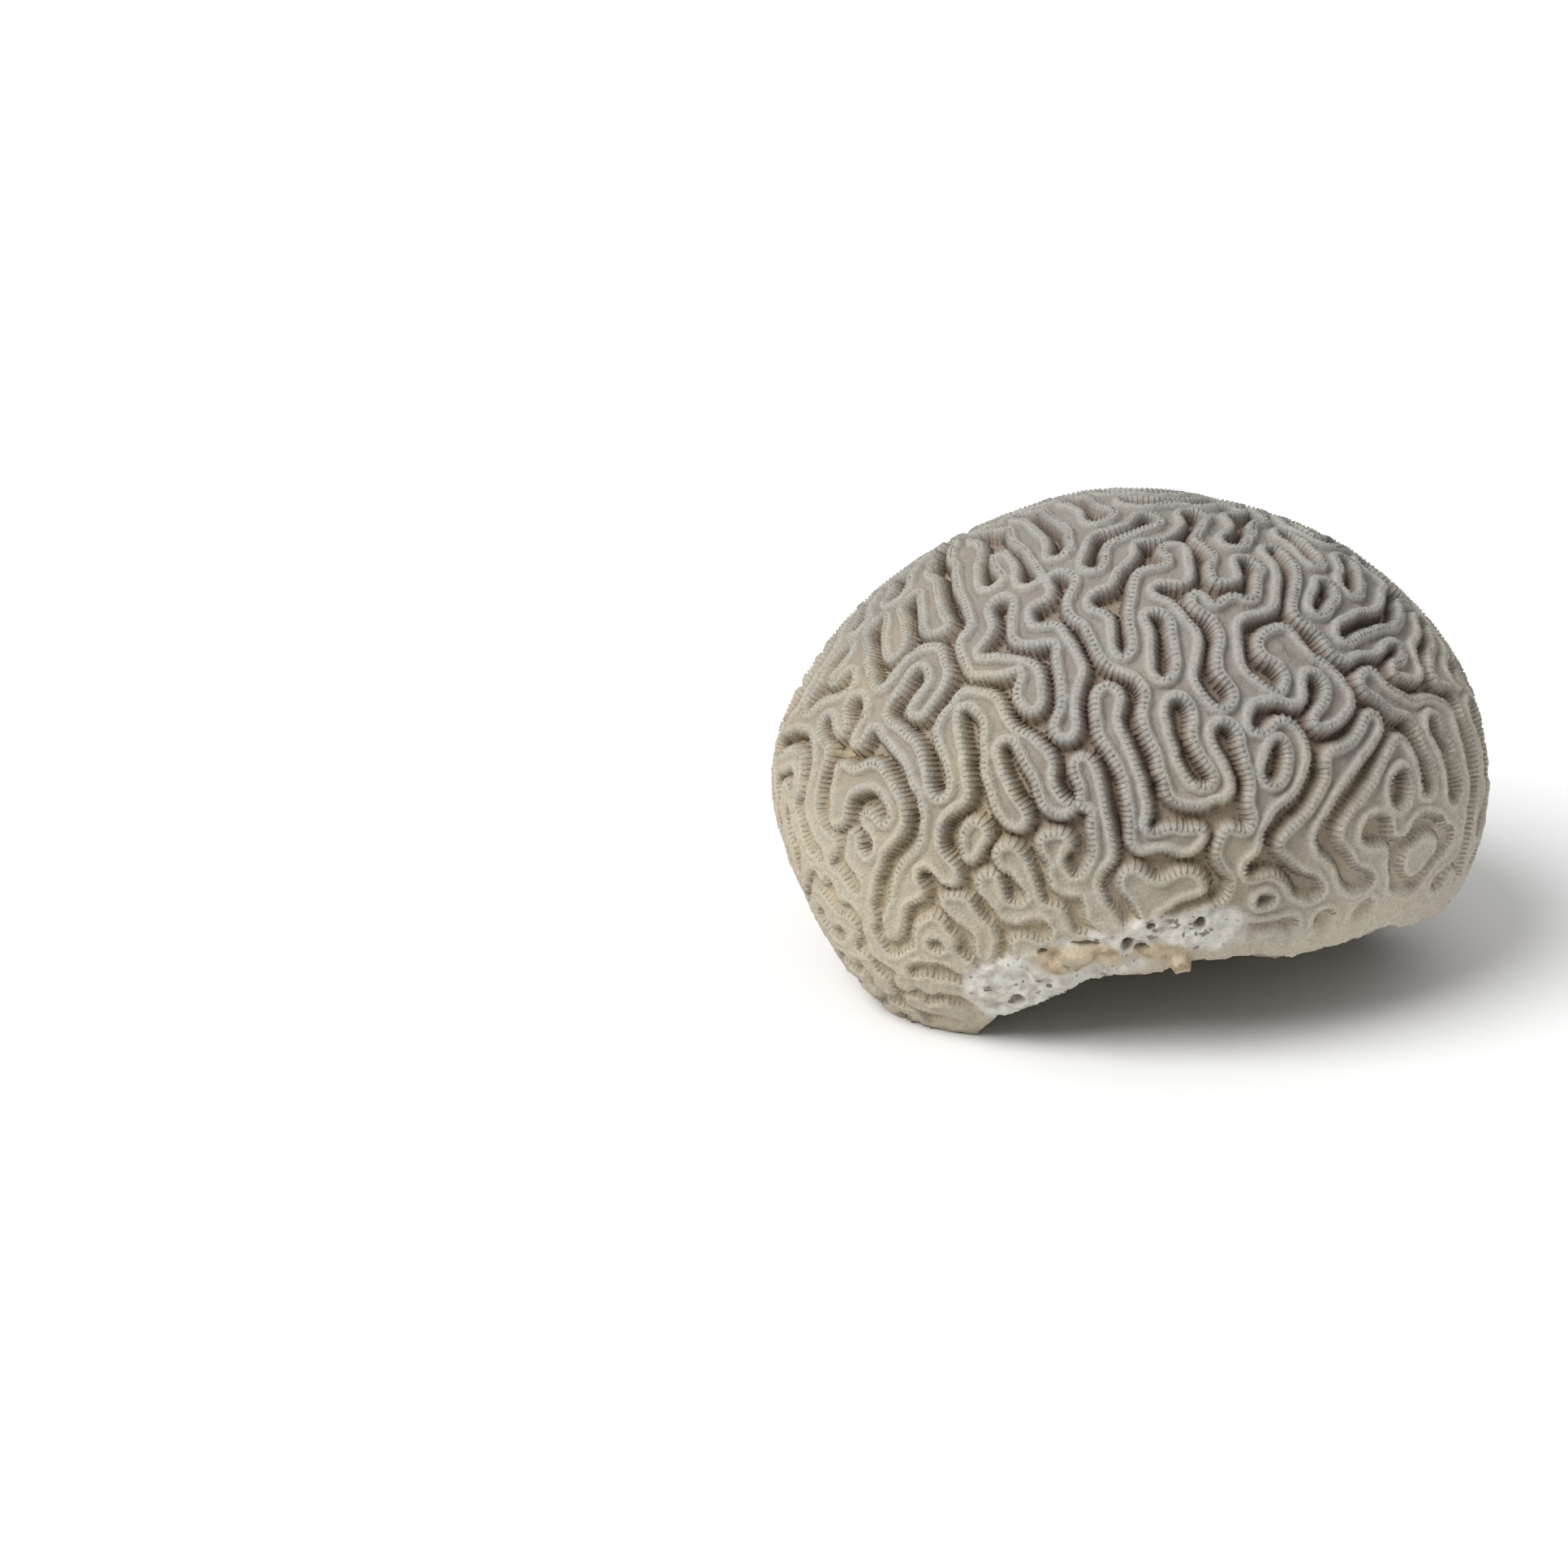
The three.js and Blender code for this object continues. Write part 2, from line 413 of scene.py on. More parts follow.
class Skin:
    """The CAD solid's outside as arrays, with each facet's region."""

    weld: float = 0.001 * MM
    heart_height: float = 0.433
    flat_match: float = 0.99
    flat_height: float = 0.05 * MM
    usual_edge: float = 4.0 * MM

    def __init__(self, node: str, smooth_angle: float = 27.0) -> None:
        """Reads the node's mesh and sorts its facets.

        Args:
            node: Name of the CAD node.
            smooth_angle: Degrees between neighbouring facets past which an edge is a crease.
        """
        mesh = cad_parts[node].data
        mesh.calc_loop_triangles()
        loose = np.empty(len(mesh.vertices) * 3)
        mesh.vertices.foreach_get("co", loose)
        corners = np.empty(len(mesh.loop_triangles) * 3, dtype=np.int32)
        mesh.loop_triangles.foreach_get("vertices", corners)
        keys = np.round(loose.reshape(-1, 3) / self.weld).astype(np.int64)
        _, first, inverse = np.unique(keys, axis=0, return_index=True, return_inverse=True)
        self.points = loose.reshape(-1, 3)[first]
        facets = inverse.reshape(-1)[corners.reshape(-1, 3)]
        self.facets = facets[(facets != np.roll(facets, 1, axis=1)).all(axis=1)]
        self.low, self.high = (np.array(corner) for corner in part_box(node))
        self.heart = np.array([0.0, 0.0, self.heart_height * self.high[2]])
        self.tree = BVHTree.FromPolygons(self.points.tolist(), self.facets.tolist())
        self.regions = self.sort_facets(math.cos(math.radians(smooth_angle)))

    def sort_facets(self, least_match: float) -> Array:
        """Tells the grown surface, the flat cut and the break apart.

        Args:
            least_match: Cosine of the angle between facets at which an edge is a crease.

        Returns:
            A Region for each facet.
        """
        a, b, c = (self.points[self.facets[:, corner]] for corner in range(3))
        normals = unit(np.cross(b - a, c - a))
        middles = (a + b + c) / 3.0
        flat = (normals[:, 2] < -self.flat_match) & (middles[:, 2] < self.flat_height)
        ends, edges = edge_middles(len(self.points), self.facets)
        owners = np.full((len(ends), 2), -1)
        for corner in range(3):
            for facet, edge in enumerate(edges[:, corner]):
                owners[edge, int(owners[edge, 0] >= 0)] = facet
        left, right = owners.T
        match = np.einsum("ij,ij->i", normals[left], normals[right])
        smooth = (right >= 0) & (match > least_match) & ~flat[left] & ~flat[right]
        grown = np.zeros(len(self.facets), dtype=bool)
        grown[np.argmax(middles[:, 2])] = True
        left, right = left[smooth], right[smooth]
        count = 0
        while count < grown.sum():
            count = grown.sum()
            grown[right[grown[left]]] = True
            grown[left[grown[right]]] = True
        self.edges, self.owners = ends, owners
        return np.where(flat, Region.CUT, np.where(grown, Region.GROWN, Region.BROKEN))

    def border(self, one: Region, other: Region, gap: float = 0.4 * MM) -> Array:
        """Gives points along the edges where two regions meet.

        Args:
            one: A region.
            other: Its neighbour.
            gap: Distance between the points on an edge of the usual length.

        Returns:
            Places in metres.
        """
        kinds = self.regions[self.owners]
        chosen = (kinds == [one, other]).all(axis=1) | (kinds == [other, one]).all(axis=1)
        starts, stops = (self.points[self.edges[chosen, end]] for end in (0, 1))
        shares = np.arange(0.0, 1.0, gap / self.usual_edge)
        return np.concatenate([starts + (stops - starts) * share for share in shares])

    def cast(self, rays: Array) -> tuple[Array, Array]:
        """Follows rays from the heart to the outside.

        Args:
            rays: Unit vectors.

        Returns:
            Where they come out, and the Region there.
        """
        start = Vector(self.heart)
        hits = [self.tree.ray_cast(start, ray) for ray in rays.tolist()]
        places = np.array([hit[0] for hit in hits])
        return places, self.regions[[hit[2] for hit in hits]]


# The labyrinth of ridges and valleys


class SurfaceGraph:
    """A triangle mesh as a web of neighbours that values can spread over evenly."""

    tie_limits: tuple[float, float] = (0.05, 2.0)
    least_area: float = 0.5
    safe_step: float = 0.225

    def __init__(self, points: Array, facets: Array) -> None:
        """Works out how strongly each vertex is tied to its neighbours.

        Args:
            points: The mesh's vertices.
            facets: Its triangles.
        """
        self.points, self.facets, self.count = points, facets, len(points)
        a, b, c = facets.T
        starts = np.concatenate([b, c, a])
        stops = np.concatenate([c, a, b])
        cotangents = [self.cotangent(*corners) for corners in ((a, b, c), (b, c, a), (c, a, b))]
        ties = np.clip(np.concatenate(cotangents) / 2.0, *self.tie_limits)
        sides = np.cross(points[b] - points[a], points[c] - points[a])
        shares = np.tile(np.linalg.norm(sides, axis=1) / 6.0, 3)
        areas = np.bincount(np.concatenate([a, b, c]), shares, self.count)
        owners = np.concatenate([starts, stops])
        order = np.argsort(owners, kind="stable")
        self.neighbours = np.concatenate([stops, starts])[order]
        self.ties = np.tile(ties, 2)[order]
        self.firsts = np.searchsorted(owners[order], np.arange(self.count))
        self.pull = np.add.reduceat(self.ties, self.firsts)
        usual = np.median(self.pull / areas)
        self.areas = np.maximum(areas, self.least_area * self.pull / usual)
        self.longest_step = self.safe_step / usual

    def cotangent(self, corner: Array, left: Array, right: Array) -> Array:
        """Gives the cotangent of each triangle's angle at a corner."""
        one = self.points[left] - self.points[corner]
        two = self.points[right] - self.points[corner]
        height = np.linalg.norm(np.cross(one, two), axis=1)
        return np.einsum("ij,ij->i", one, two) / np.maximum(height, 1e-15)

    def spread(self, values: Array, width: float) -> Array:
        """Blurs values over the surface.

        Args:
            values: One number for each vertex.
            width: Standard deviation of the blur in metres.

        Returns:
            The blurred values.
        """
        steps = math.ceil(width * width / 2.0 / self.longest_step)
        rate = width * width / 2.0 / steps / self.areas
        for _ in range(steps):
            gathered = np.add.reduceat(self.ties * values[self.neighbours], self.firsts)
            values = values + rate * (gathered - self.pull * values)
        return values


@dataclass
class Labyrinth:
    """Ridges and valleys grown by a near activator and a wider inhibitor."""

    period: float = 8.4 * MM
    ridge_share: float = 0.49
    broad_share: float = 0.61
    crown_share: float = 0.4
    young_tightness: float = 0.25
    contrast: float = 6.0
    rounds: int = 30
    widening: float = 2.0
    seed: int = 5
    head_start: float = 2.0
    hold: float = 0.8
    hold_width: float = 0.8 * MM
    free_lean: float = 0.015
    held_lean: float = 0.07
    held_reach: tuple[float, float] = (5.0 * MM, 10.0 * MM)

    def guide(self, graph: SurfaceGraph, courses: dict[Kind, Array]) -> tuple[Array, Array]:
        """Works out where the pattern is held to a valley or a ridge.

        Args:
            graph: The surface.
            courses: Places along the courses of each kind.

        Returns:
            Two numbers for each vertex: how it is held, from -1 on a valley's course over 0 where
            it is free to 1 on a ridge's, and how much it leans towards ridges.
        """
        held = np.zeros(graph.count)
        away = np.full(graph.count, np.inf)
        for kind, places in courses.items():
            distance, _ = nearest(places, graph.points)
            held += kind * np.exp(-(distance / self.hold_width) ** 2)
            away = np.minimum(away, distance)
        free = smooth_step(away, *self.held_reach)
        return held, self.held_lean + (self.free_lean - self.held_lean) * free

    def grow(self, graph: SurfaceGraph, courses: dict[Kind, Array], young: Array, crown: Array) -> Array:
        """Grows the pattern from noise.

        Args:
            graph: The surface it grows on.
            courses: Places along the courses that it is held to.
            young: Where ridges are young, close and broad, from 0 to 1.
            crown: Where they are broad only, from 0 to 1.

        Returns:
            A smooth value for each vertex: above 0 on ridges, 0 on their crests.
        """
        pull = math.sqrt(2.0 * math.log(self.widening ** 2) / (self.widening ** 2 - 1.0))
        near = self.period * pull / (2.0 * math.pi)
        further = near * math.sqrt(self.widening ** 2 - 1.0)
        held, lean = self.guide(graph, courses)
        lean = lean * (1.0 - young)
        graph.areas = graph.areas / (1.0 - self.young_tightness * young) ** 2
        noise = np.random.default_rng(self.seed).standard_normal(graph.count)
        state = noise * (1.0 - np.abs(held)) + self.head_start * held
        for _ in range(self.rounds):
            activator = graph.spread(state, near)
            signal = activator - graph.spread(activator, further)
            state = np.tanh(self.contrast * (signal + lean + self.hold * held))
        level, broad_level = np.quantile(signal, [1.0 - self.ridge_share, 1.0 - self.broad_share])
        return signal - level - (broad_level - level) * np.maximum(young, self.crown_share * crown)


@dataclass
class Crests:
    """The crest lines: where the labyrinth's value passes zero."""

    points: Array
    inward: Array
    upward: Array
    links: Array

    @classmethod
    def trace(cls, points: Array, normals: Array, facets: Array, values: Array) -> "Crests":
        """Follows the zero line of the values over a mesh.

        Args:
            points: The mesh's vertices.
            normals: Their outward normals.
            facets: Its triangles.
            values: The labyrinth's value at each vertex.

        Returns:
            The crest lines.
        """
        ends, edges = edge_middles(len(points), facets)
        start, stop = values[ends[:, 0]], values[ends[:, 1]]
        crossed = (start > 0) != (stop > 0)
        share = (start / np.where(crossed, start - stop, 1.0))[:, None]
        slopes = cls.slopes(points, facets, values)

        def between(rows: Array) -> Array:
            """Gives the rows' values where each edge is crossed."""
            return (rows[ends[:, 0]] * (1.0 - share) + rows[ends[:, 1]] * share)[crossed]

        numbers = np.cumsum(crossed) - 1
        hit = crossed[edges]
        rows = edges[hit.sum(axis=1) == 2]
        links = numbers[rows[crossed[rows]].reshape(-1, 2)]
        upward = unit(between(normals))
        inward = -between(slopes)
        inward = unit(inward - upward * np.einsum("ij,ij->i", inward, upward)[:, None])
        traced = cls(between(points), inward, upward, links)
        traced.smooth()
        return traced

    @staticmethod
    def slopes(points: Array, facets: Array, values: Array) -> Array:
        """Gives the direction in which the values rise at each vertex."""
        a, b, c = (points[facets[:, corner]] for corner in range(3))
        normal = np.cross(b - a, c - a)
        square = np.maximum(np.einsum("ij,ij->i", normal, normal), 1e-30)[:, None]
        va, vb, vc = (values[facets[:, corner]][:, None] for corner in range(3))
        rise = np.cross(normal, (c - b) * va + (a - c) * vb + (b - a) * vc) / square
        total = [np.bincount(facets.T.ravel(), np.tile(rise[:, axis], 3), len(points)) for axis in range(3)]
        return unit(np.stack(total, axis=1))

    def smooth(self, rounds: int = 4) -> None:
        """Evens out the lines' small zigzags."""
        ends = self.links.T.ravel()
        others = self.links[:, ::-1].T.ravel()
        counts = np.bincount(ends, minlength=len(self.points))
        inner = counts == 2
        for _ in range(rounds):
            sums = [np.bincount(ends, self.points[others, axis], len(self.points)) for axis in range(3)]
            middle = np.stack(sums, axis=1) / np.maximum(counts, 1)[:, None]
            self.points = np.where(inner[:, None], (self.points + middle) / 2.0, self.points)


@dataclass
class Relief:
    """The section across a ridge and a valley, measured from the crest between them.

    A ridge carries two rounded crests with a groove between them. Valley, groove and plateau each
    start at one distance from the crest and have their full height or depth at another.
    """

    valley_depth: float = 2.8 * MM
    valley_start: float = 0.15 * MM
    valley_end: float = 1.85 * MM
    groove_depth: float = 1.05 * MM
    groove_start: float = 0.7 * MM
    groove_end: float = 1.65 * MM
    soft_rounding: float = 1.2 * MM
    soft_filling: float = 0.38
    plateau_rise: float = 0.6
    plateau_start: float = 2.9 * MM
    plateau_end: float = 4.3 * MM

    def valley(self, across: Array, soft: Array) -> Array:
        """Gives the share of the valley's depth.

        Args:
            across: Distance from the crest, below 0 in valleys.
            soft: Where the relief is rounded off, from 0 to 1.

        Returns:
            A share for each distance.
        """
        rounded = self.soft_rounding * soft
        share = (-across - self.valley_start + rounded) / (self.valley_end - self.valley_start + rounded)
        return smooth_step(share, 0.0, 1.0) * (1.0 - self.soft_filling * soft)

    def groove(self, across: Array) -> Array:
        """Gives the share of the groove's depth, less in the middle of a broad ridge."""
        share = smooth_step(across, self.groove_start, self.groove_end)
        return share * (1.0 - self.plateau_rise * smooth_step(across, self.plateau_start, self.plateau_end))


# Node trees written as Python expressions


class Socket:
    """A node's output that Python's operators work on, each adding a Math node."""

    def __init__(self, board: "Board", output: bpy.types.NodeSocket) -> None:
        """Keeps the output and the board it is on."""
        self.board, self.output = board, output

    def maths(self, operation: str, first: Scalar, second: Scalar = 0.0, clamp: bool = False) -> "Socket":
        """Adds a Math node."""
        settings = {"operation": operation, "use_clamp": clamp}
        return self.board.add("ShaderNodeMath", settings, {0: first, 1: second})

    def __add__(self, other: Scalar) -> "Socket":
        """Adds."""
        return self.maths("ADD", self, other)

    def __sub__(self, other: Scalar) -> "Socket":
        """Subtracts."""
        return self.maths("SUBTRACT", self, other)

    def __rsub__(self, other: Scalar) -> "Socket":
        """Subtracts this from a number."""
        return self.maths("SUBTRACT", other, self)

    def __mul__(self, other: Scalar) -> "Socket":
        """Multiplies."""
        return self.maths("MULTIPLY", self, other)

    __radd__ = __add__

    def clamp(self) -> "Socket":
        """Keeps the value between 0 and 1."""
        return self.maths("ADD", self, 0.0, clamp=True)

    def step(self, low: float, high: float) -> "Socket":
        """Goes from 0 at low to 1 at high with a smooth start and end."""
        settings = {"interpolation_type": "SMOOTHSTEP"}
        return self.board.add("ShaderNodeMapRange", settings, {0: self, 1: low, 2: high, 3: 0.0, 4: 1.0})


class Board:
    """A node tree under construction."""

    def __init__(self, tree: bpy.types.NodeTree) -> None:
        """Starts from an empty tree."""
        self.tree = tree
        tree.nodes.clear()

    def node(self, kind: str, settings: dict | None = None, sockets: dict | None = None) -> bpy.types.Node:
        """Adds a node.

        Args:
            kind: The node's type.
            settings: Its properties; they are set first.
            sockets: A value, Socket or node output for each input, by name or number.

        Returns:
            The node.
        """
        node = self.tree.nodes.new(kind)
        for name, value in (settings or {}).items():
            setattr(node, name, value)
        for name, value in (sockets or {}).items():
            value = value.output if isinstance(value, Socket) else value
            if isinstance(value, bpy.types.NodeSocket):
                self.tree.links.new(value, node.inputs[name])
            else:
                node.inputs[name].default_value = value
        return node

    def add(self, kind: str, settings: dict | None = None, sockets: dict | None = None,
            output: int | str = 0) -> Socket:
        """Adds a node and gives one of its outputs."""
        return Socket(self, self.node(kind, settings, sockets).outputs[output])

    def attribute(self, name: str) -> Socket:
        """Reads a number stored on the mesh."""
        return self.add("ShaderNodeAttribute", {"attribute_name": name}, output="Fac")

    def noise(self, coordinates: Socket, length: float, detail: float = 3.0,
              roughness: float = 0.55, warp: float = 0.0) -> Socket:
        """Adds noise whose features are about a length in metres across."""
        sockets = {"Vector": coordinates, "Scale": 1.0 / length, "Detail": detail,
                   "Roughness": roughness, "Distortion": warp}
        return self.add("ShaderNodeTexNoise", {}, sockets, "Fac")

    def cells(self, coordinates: Socket, length: float) -> Socket:
        """Adds the distance to the nearest of points scattered a length in metres apart."""
        sockets = {"Vector": coordinates, "Scale": 1.0 / length}
        return self.add("ShaderNodeTexVoronoi", {"feature": "F1"}, sockets, "Distance")

    def mix(self, share: Scalar, first: "Colour | Socket", second: "Colour | Socket") -> Socket:
        """Mixes two colours."""
        first, second = (value if isinstance(value, Socket) else (*value, 1.0) for value in (first, second))
        settings = {"data_type": "RGBA", "clamp_factor": True}
        return self.add("ShaderNodeMix", settings, {0: share, 6: first, 7: second}, 2)


def paint(red: int, green: int, blue: int) -> Colour:
    """Turns a display colour from 0 to 255 into the linear colour that shaders use."""
    shares = (value / 255.0 for value in (red, green, blue))
    return tuple(x / 12.92 if x <= 0.04045 else ((x + 0.055) / 1.055) ** 2.4 for x in shares)


# Finishes


@dataclass(frozen=True)
class SkeletonFinish:
    """Chalky coral skeleton: pale crests, stained grooves and valleys, a white crumbling break.

    It is warm low on the left and grey on top; low on the right painted light makes it paler, with less
    stain. Its pits, pores and holes are painted dark as painted shade.
    """

    warm_crest: Colour = paint(188, 179, 159)
    grey_crest: Colour = paint(169, 167, 161)
    # Painted light: the crest colour that the right side is lightened towards.
    painted_lit_crest: Colour = paint(211, 203, 187)
    warm_groove: Colour = paint(168, 157, 135)
    grey_groove: Colour = paint(140, 133, 125)
    warm_valley: Colour = paint(176, 158, 124)
    dark_valley: Colour = paint(148, 133, 120)
    chalk: Colour = paint(214, 211, 203)
    chalk_shade: Colour = paint(176, 171, 162)
    crust: Colour = paint(190, 176, 152)
    # Painted shade: the dark of pits and pores.
    painted_pit_shade: Colour = paint(62, 54, 46)
    # Painted shade: the near-black inside the deep holes.
    painted_hole_shade: Colour = paint(38, 33, 29)
    grit: Colour = paint(124, 114, 101)
    crust_shade: Colour = paint(158, 139, 115)
    sawn: Colour = paint(196, 188, 170)
    broken: Colour = paint(158, 148, 130)
    broken_shade: Colour = paint(112, 102, 88)
    roughness: float = 0.93
    shine: float = 0.25
    grain_strength: float = 0.8
    grain_depth: float = 0.3 * MM

    def build(self, name: str) -> bpy.types.Material:
        """Makes the material.

        Args:
            name: The material's name.

        Returns:
            The material.
        """
        material = bpy.data.materials.new(name)
        material.use_nodes = True
        board = Board(material.node_tree)
        place = board.add("ShaderNodeTexCoord", output="Object")
        shader = board.node("ShaderNodeBsdfPrincipled", None, {
            "Base Color": self.colour(board, place),
            "Roughness": self.roughness,
            "Specular IOR Level": self.shine,
            "Normal": self.grain(board, place),
        })
        board.node("ShaderNodeOutputMaterial", None, {"Surface": shader.outputs[0]})
        return material

    def colour(self, board: Board, place: Socket) -> Socket:
        """Lays the colours over each other, from the crests down to the dirt, with painted light low on the
        right and painted shade in pits, pores and holes.
        """
        parts = board.node("ShaderNodeSeparateXYZ", None, {0: place})
        across, _, up = (Socket(board, output) for output in parts.outputs)
        sink = board.attribute("sink")
        groove = board.attribute("groove")
        patchy = board.noise(place, 20 * MM, 2.0, warp=0.6)
        warmth = (1.3 - across * 6.0 - up * 19.0 + (patchy - 0.5) * 1.8).clamp()
        # Painted light: paler towards the right and low down, standing in for light falling there.
        pale = (across - up * 0.8).step(-20 * MM, 25 * MM)
        crest = board.mix(warmth, self.grey_crest, self.warm_crest)
        crest = board.mix(pale * 0.8, crest, self.painted_lit_crest)
        stain = board.mix(warmth, self.grey_groove, self.warm_groove)
        valley = board.mix(warmth * 0.9, self.dark_valley, self.warm_valley)
        # Painted light: valleys lightened towards the right.
        valley = board.mix(pale * 0.8, valley, self.warm_valley)
        cloudy = board.noise(place, 5 * MM)
        # Painted light: less stain where the right side is lightened.
        stain_kept_under_painted_light = 1.0 - pale * 0.75
        stained = (groove.step(0.1, 0.9) * stain_kept_under_painted_light * (0.45 + cloudy * 0.7)).clamp()
        soiled = sink.step(0.05, 0.65) * stain_kept_under_painted_light * (0.75 + cloudy * 0.5) * (1.0 - warmth * 0.3)
        soiled = soiled.clamp()
        colour = board.mix(soiled, board.mix(stained, crest, stain), valley)
        # Painted shade: dark pits, more of them deep in the valleys.
        speckle = board.noise(place, 1.0 * MM, 4.0, 0.7).step(0.55, 0.72)
        colour = board.mix(speckle * stain_kept_under_painted_light * (0.1 + sink * 0.45), colour, self.painted_pit_shade)
        gritty = board.noise(place, 0.55 * MM, 3.0, 0.75).step(0.4, 0.66)
        colour = board.mix(gritty * 0.35, colour, self.grit)
        dull = board.noise(place, 3.5 * MM, 3.0, 0.6).step(0.45, 0.7)
        flecks = board.mix(dull, self.chalk, self.chalk_shade)
        # Painted shade: dark pores on the worn edge.
        pores = board.noise(place, 1.7 * MM, 2.0, 0.5).step(0.6, 0.68)
        flecks = board.mix(pores * 0.75, flecks, self.painted_pit_shade)
        bare = board.attribute("worn") * board.noise(place, 4 * MM, 4.0, 0.6).step(0.25, 0.5)
        colour = board.mix(bare * 0.95, colour, flecks)
        inside = board.mix(cloudy.step(0.35, 0.65), self.broken, self.broken_shade)
        # Painted shade: dark pores in the break's inside.
        colour = board.mix(board.attribute("broken"), colour, board.mix(pores * 0.6, inside, self.painted_pit_shade))
        brown = board.noise(place, 3 * MM, 4.0, 0.6).step(0.4, 0.65)
        tan = board.mix(brown, self.crust, self.crust_shade)
        colour = board.mix(board.attribute("crust"), colour, tan)
        # Painted shade: the deep holes, where sink passes 1.2, painted near black.
        colour = board.mix(sink.step(1.2, 1.8), colour, self.painted_hole_shade)
        # Painted shade: dark pores between the walls of the flat cut.
        walls = board.cells(place, 1.5 * MM).step(0.2, 0.55) * (0.6 + cloudy * 0.5)
        sawn = board.mix(walls, self.painted_pit_shade, self.sawn)
        return board.mix(board.attribute("cut"), colour, sawn)

    def grain(self, board: Board, place: Socket) -> Socket:
        """Gives the surface its fine grain and pores."""
        granules = 1.0 - board.cells(place, 0.55 * MM)
        fine = board.noise(place, 0.35 * MM, 5.0, 0.7)
        height = granules * 0.5 + fine * 0.7
        sockets = {"Strength": self.grain_strength, "Distance": self.grain_depth, "Height": height}
        return board.add("ShaderNodeBump", None, sockets)


# The pieces


def make_object(name: str, points: Array, facets: Array, numbers: dict[str, Array] | None = None,
                vectors: dict[str, Array] | None = None) -> bpy.types.Object:
    """Makes a mesh object from arrays.

    Args:
        name: The object's name.
        points: Vertices.
        facets: Triangles, or rows of two for bare edges.
        numbers: Numbers to store at the vertices.
        vectors: Vectors to store at the vertices.

    Returns:
        The object, linked to the scene.
    """
    mesh = bpy.data.meshes.new(name)
    mesh.vertices.add(len(points))
    mesh.vertices.foreach_set("co", points.astype(np.float32).ravel())
    if facets.shape[1] == 2:
        mesh.edges.add(len(facets))
        mesh.edges.foreach_set("vertices", facets.astype(np.int32).ravel())
    else:
        mesh.loops.add(facets.size)
        mesh.loops.foreach_set("vertex_index", facets.astype(np.int32).ravel())
        mesh.polygons.add(len(facets))
        mesh.polygons.foreach_set("loop_start", np.arange(0, facets.size, 3, dtype=np.int32))
    for label, rows in (numbers or {}).items():
        store = mesh.attributes.new(label, "FLOAT", "POINT")
        store.data.foreach_set("value", rows.astype(np.float32))
    for label, rows in (vectors or {}).items():
        store = mesh.attributes.new(label, "FLOAT_VECTOR", "POINT")
        store.data.foreach_set("vector", rows.astype(np.float32).ravel())
    mesh.update(calc_edges=True)
    piece = bpy.data.objects.new(name, mesh)
    bpy.context.scene.collection.objects.link(piece)
    return piece


def settle(piece: bpy.types.Object) -> None:
    """Turns a piece's modifiers into plain mesh and takes them off."""
    graph = bpy.context.evaluated_depsgraph_get()
    mesh = bpy.data.meshes.new_from_object(piece.evaluated_get(graph), depsgraph=graph)
    piece.modifiers.clear()
    before = piece.data
    piece.data = mesh
    bpy.data.meshes.remove(before)
    mesh.name = piece.name


